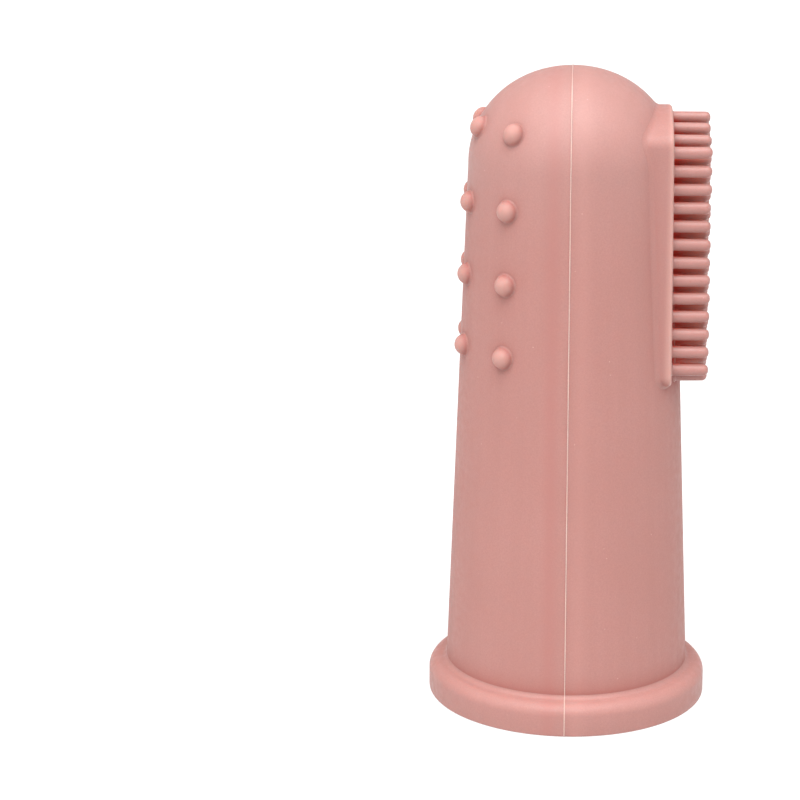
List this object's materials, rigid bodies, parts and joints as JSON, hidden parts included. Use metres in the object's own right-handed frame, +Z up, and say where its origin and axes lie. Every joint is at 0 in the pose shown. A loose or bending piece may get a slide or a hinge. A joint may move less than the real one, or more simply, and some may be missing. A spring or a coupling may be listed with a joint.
{
  "type": "finger toothbrush",
  "caption": "Soft silicone finger sleeve with a pad of round-ended bristles in front, massage nubs behind and a rolled collar at its open end.",
  "frame": {"origin": "centre of the open mouth on the plane that the rim stands on", "axes": "+Z up along the finger to the closed tip, +X the way the bristles point, +Y across the finger"},
  "size_m": [0.0264, 0.0256, 0.06],
  "materials": {
    "sleeve": "matt translucent silicone, dusty rose",
    "rim": "matt translucent silicone, dusty rose, softly lit rolled edge",
    "pad": "matt translucent silicone, dusty rose",
    "nubs": "satin translucent silicone, dusty rose",
    "bristles": "satin translucent silicone, dusty rose, small gloss streaks near the tips"
  },
  "bodies": {
    "root": {"finger_sleeve": "sleeve", "base_rim": "rim", "bristle_pad": "pad", "massage_nub_a1": "nubs", "massage_nub_a2": "nubs", "massage_nub_a3": "nubs", "massage_nub_a4": "nubs", "massage_nub_b1": "nubs", "massage_nub_b2": "nubs", "massage_nub_b3": "nubs", "massage_nub_b4": "nubs", "massage_nub_c1": "nubs", "massage_nub_c2": "nubs", "massage_nub_c3": "nubs", "massage_nub_c4": "nubs", "massage_nub_d1": "nubs", "massage_nub_d2": "nubs", "massage_nub_d3": "nubs", "massage_nub_d4": "nubs"},
    "bristle_row_01_body": {"bristle_row_01": "bristles"},
    "bristle_row_02_body": {"bristle_row_02": "bristles"},
    "bristle_row_03_body": {"bristle_row_03": "bristles"},
    "bristle_row_04_body": {"bristle_row_04": "bristles"},
    "bristle_row_05_body": {"bristle_row_05": "bristles"},
    "bristle_row_06_body": {"bristle_row_06": "bristles"},
    "bristle_row_07_body": {"bristle_row_07": "bristles"},
    "bristle_row_08_body": {"bristle_row_08": "bristles"},
    "bristle_row_09_body": {"bristle_row_09": "bristles"},
    "bristle_row_10_body": {"bristle_row_10": "bristles"},
    "bristle_row_11_body": {"bristle_row_11": "bristles"},
    "bristle_row_12_body": {"bristle_row_12": "bristles"},
    "bristle_row_13_body": {"bristle_row_13": "bristles"},
    "bristle_row_14_body": {"bristle_row_14": "bristles"},
    "bristle_row_15_body": {"bristle_row_15": "bristles"},
    "bristle_row_16_body": {"bristle_row_16": "bristles"},
    "bristle_row_17_body": {"bristle_row_17": "bristles"},
    "bristle_row_18_body": {"bristle_row_18": "bristles"},
    "bristle_row_19_body": {"bristle_row_19": "bristles"},
    "bristle_row_20_body": {"bristle_row_20": "bristles"},
    "bristle_row_21_body": {"bristle_row_21": "bristles"},
    "bristle_row_22_body": {"bristle_row_22": "bristles"},
    "bristle_row_23_body": {"bristle_row_23": "bristles"},
    "bristle_row_24_body": {"bristle_row_24": "bristles"},
    "bristle_row_25_body": {"bristle_row_25": "bristles"},
    "bristle_row_26_body": {"bristle_row_26": "bristles"},
    "bristle_row_27_body": {"bristle_row_27": "bristles"},
    "bristle_row_28_body": {"bristle_row_28": "bristles"},
    "bristle_row_29_body": {"bristle_row_29": "bristles"}
  },
  "joints": [
    {"name": "bend_row_01", "type": "hinge", "parent": "root", "child": "bristle_row_01_body", "pos_m": [0.0093, 0, 0.05545], "axis": [0, 1, 0], "range_deg": [-20, 20], "stiffness_Nm_per_rad": 0.00007},
    {"name": "bend_row_02", "type": "hinge", "parent": "root", "child": "bristle_row_02_body", "pos_m": [0.00931, 0, 0.05462], "axis": [0, 1, 0], "range_deg": [-20, 20], "stiffness_Nm_per_rad": 0.00014},
    {"name": "bend_row_03", "type": "hinge", "parent": "root", "child": "bristle_row_03_body", "pos_m": [0.00946, 0, 0.05379], "axis": [0, 1, 0], "range_deg": [-20, 20], "stiffness_Nm_per_rad": 0.00021},
    {"name": "bend_row_04", "type": "hinge", "parent": "root", "child": "bristle_row_04_body", "pos_m": [0.00955, 0, 0.05296], "axis": [0, 1, 0], "range_deg": [-20, 20], "stiffness_Nm_per_rad": 0.00028},
    {"name": "bend_row_05", "type": "hinge", "parent": "root", "child": "bristle_row_05_body", "pos_m": [0.00969, 0, 0.05213], "axis": [0, 1, 0], "range_deg": [-20, 20], "stiffness_Nm_per_rad": 0.00021},
    {"name": "bend_row_06", "type": "hinge", "parent": "root", "child": "bristle_row_06_body", "pos_m": [0.00966, 0, 0.0513], "axis": [0, 1, 0], "range_deg": [-20, 20], "stiffness_Nm_per_rad": 0.00028},
    {"name": "bend_row_07", "type": "hinge", "parent": "root", "child": "bristle_row_07_body", "pos_m": [0.00975, 0, 0.05047], "axis": [0, 1, 0], "range_deg": [-20, 20], "stiffness_Nm_per_rad": 0.00021},
    {"name": "bend_row_08", "type": "hinge", "parent": "root", "child": "bristle_row_08_body", "pos_m": [0.00973, 0, 0.04964], "axis": [0, 1, 0], "range_deg": [-20, 20], "stiffness_Nm_per_rad": 0.00028},
    {"name": "bend_row_09", "type": "hinge", "parent": "root", "child": "bristle_row_09_body", "pos_m": [0.00983, 0, 0.04881], "axis": [0, 1, 0], "range_deg": [-20, 20], "stiffness_Nm_per_rad": 0.00021},
    {"name": "bend_row_10", "type": "hinge", "parent": "root", "child": "bristle_row_10_body", "pos_m": [0.0098, 0, 0.04798], "axis": [0, 1, 0], "range_deg": [-20, 20], "stiffness_Nm_per_rad": 0.00028},
    {"name": "bend_row_11", "type": "hinge", "parent": "root", "child": "bristle_row_11_body", "pos_m": [0.0099, 0, 0.04715], "axis": [0, 1, 0], "range_deg": [-20, 20], "stiffness_Nm_per_rad": 0.00021},
    {"name": "bend_row_12", "type": "hinge", "parent": "root", "child": "bristle_row_12_body", "pos_m": [0.00987, 0, 0.04632], "axis": [0, 1, 0], "range_deg": [-20, 20], "stiffness_Nm_per_rad": 0.00028},
    {"name": "bend_row_13", "type": "hinge", "parent": "root", "child": "bristle_row_13_body", "pos_m": [0.00997, 0, 0.04549], "axis": [0, 1, 0], "range_deg": [-20, 20], "stiffness_Nm_per_rad": 0.00021},
    {"name": "bend_row_14", "type": "hinge", "parent": "root", "child": "bristle_row_14_body", "pos_m": [0.00994, 0, 0.04466], "axis": [0, 1, 0], "range_deg": [-20, 20], "stiffness_Nm_per_rad": 0.00028},
    {"name": "bend_row_15", "type": "hinge", "parent": "root", "child": "bristle_row_15_body", "pos_m": [0.01004, 0, 0.04383], "axis": [0, 1, 0], "range_deg": [-20, 20], "stiffness_Nm_per_rad": 0.00021},
    {"name": "bend_row_16", "type": "hinge", "parent": "root", "child": "bristle_row_16_body", "pos_m": [0.01001, 0, 0.043], "axis": [0, 1, 0], "range_deg": [-20, 20], "stiffness_Nm_per_rad": 0.00028},
    {"name": "bend_row_17", "type": "hinge", "parent": "root", "child": "bristle_row_17_body", "pos_m": [0.01011, 0, 0.04217], "axis": [0, 1, 0], "range_deg": [-20, 20], "stiffness_Nm_per_rad": 0.00021},
    {"name": "bend_row_18", "type": "hinge", "parent": "root", "child": "bristle_row_18_body", "pos_m": [0.01009, 0, 0.04134], "axis": [0, 1, 0], "range_deg": [-20, 20], "stiffness_Nm_per_rad": 0.00028},
    {"name": "bend_row_19", "type": "hinge", "parent": "root", "child": "bristle_row_19_body", "pos_m": [0.01018, 0, 0.04051], "axis": [0, 1, 0], "range_deg": [-20, 20], "stiffness_Nm_per_rad": 0.00021},
    {"name": "bend_row_20", "type": "hinge", "parent": "root", "child": "bristle_row_20_body", "pos_m": [0.01016, 0, 0.03968], "axis": [0, 1, 0], "range_deg": [-20, 20], "stiffness_Nm_per_rad": 0.00028},
    {"name": "bend_row_21", "type": "hinge", "parent": "root", "child": "bristle_row_21_body", "pos_m": [0.01025, 0, 0.03885], "axis": [0, 1, 0], "range_deg": [-20, 20], "stiffness_Nm_per_rad": 0.00021},
    {"name": "bend_row_22", "type": "hinge", "parent": "root", "child": "bristle_row_22_body", "pos_m": [0.01023, 0, 0.03802], "axis": [0, 1, 0], "range_deg": [-20, 20], "stiffness_Nm_per_rad": 0.00028},
    {"name": "bend_row_23", "type": "hinge", "parent": "root", "child": "bristle_row_23_body", "pos_m": [0.01033, 0, 0.03719], "axis": [0, 1, 0], "range_deg": [-20, 20], "stiffness_Nm_per_rad": 0.00021},
    {"name": "bend_row_24", "type": "hinge", "parent": "root", "child": "bristle_row_24_body", "pos_m": [0.0103, 0, 0.03636], "axis": [0, 1, 0], "range_deg": [-20, 20], "stiffness_Nm_per_rad": 0.00028},
    {"name": "bend_row_25", "type": "hinge", "parent": "root", "child": "bristle_row_25_body", "pos_m": [0.0104, 0, 0.03553], "axis": [0, 1, 0], "range_deg": [-20, 20], "stiffness_Nm_per_rad": 0.00021},
    {"name": "bend_row_26", "type": "hinge", "parent": "root", "child": "bristle_row_26_body", "pos_m": [0.01037, 0, 0.0347], "axis": [0, 1, 0], "range_deg": [-20, 20], "stiffness_Nm_per_rad": 0.00028},
    {"name": "bend_row_27", "type": "hinge", "parent": "root", "child": "bristle_row_27_body", "pos_m": [0.01047, 0, 0.03387], "axis": [0, 1, 0], "range_deg": [-20, 20], "stiffness_Nm_per_rad": 0.00021},
    {"name": "bend_row_28", "type": "hinge", "parent": "root", "child": "bristle_row_28_body", "pos_m": [0.01044, 0, 0.03304], "axis": [0, 1, 0], "range_deg": [-20, 20], "stiffness_Nm_per_rad": 0.00028},
    {"name": "bend_row_29", "type": "hinge", "parent": "root", "child": "bristle_row_29_body", "pos_m": [0.01054, 0, 0.03221], "axis": [0, 1, 0], "range_deg": [-20, 20], "stiffness_Nm_per_rad": 0.00021}
  ],
  "couplings": [
    {"joint": "bend_row_01", "follows": "bend_row_04", "ratio": 1},
    {"joint": "bend_row_02", "follows": "bend_row_04", "ratio": 1},
    {"joint": "bend_row_03", "follows": "bend_row_04", "ratio": 1},
    {"joint": "bend_row_05", "follows": "bend_row_04", "ratio": 1},
    {"joint": "bend_row_06", "follows": "bend_row_04", "ratio": 1},
    {"joint": "bend_row_07", "follows": "bend_row_04", "ratio": 1},
    {"joint": "bend_row_08", "follows": "bend_row_04", "ratio": 1},
    {"joint": "bend_row_09", "follows": "bend_row_04", "ratio": 1},
    {"joint": "bend_row_10", "follows": "bend_row_04", "ratio": 1},
    {"joint": "bend_row_11", "follows": "bend_row_04", "ratio": 1},
    {"joint": "bend_row_12", "follows": "bend_row_04", "ratio": 1},
    {"joint": "bend_row_13", "follows": "bend_row_04", "ratio": 1},
    {"joint": "bend_row_14", "follows": "bend_row_04", "ratio": 1},
    {"joint": "bend_row_15", "follows": "bend_row_04", "ratio": 1},
    {"joint": "bend_row_16", "follows": "bend_row_04", "ratio": 1},
    {"joint": "bend_row_17", "follows": "bend_row_04", "ratio": 1},
    {"joint": "bend_row_18", "follows": "bend_row_04", "ratio": 1},
    {"joint": "bend_row_19", "follows": "bend_row_04", "ratio": 1},
    {"joint": "bend_row_20", "follows": "bend_row_04", "ratio": 1},
    {"joint": "bend_row_21", "follows": "bend_row_04", "ratio": 1},
    {"joint": "bend_row_22", "follows": "bend_row_04", "ratio": 1},
    {"joint": "bend_row_23", "follows": "bend_row_04", "ratio": 1},
    {"joint": "bend_row_24", "follows": "bend_row_04", "ratio": 1},
    {"joint": "bend_row_25", "follows": "bend_row_04", "ratio": 1},
    {"joint": "bend_row_26", "follows": "bend_row_04", "ratio": 1},
    {"joint": "bend_row_27", "follows": "bend_row_04", "ratio": 1},
    {"joint": "bend_row_28", "follows": "bend_row_04", "ratio": 1},
    {"joint": "bend_row_29", "follows": "bend_row_04", "ratio": 1}
  ]
}
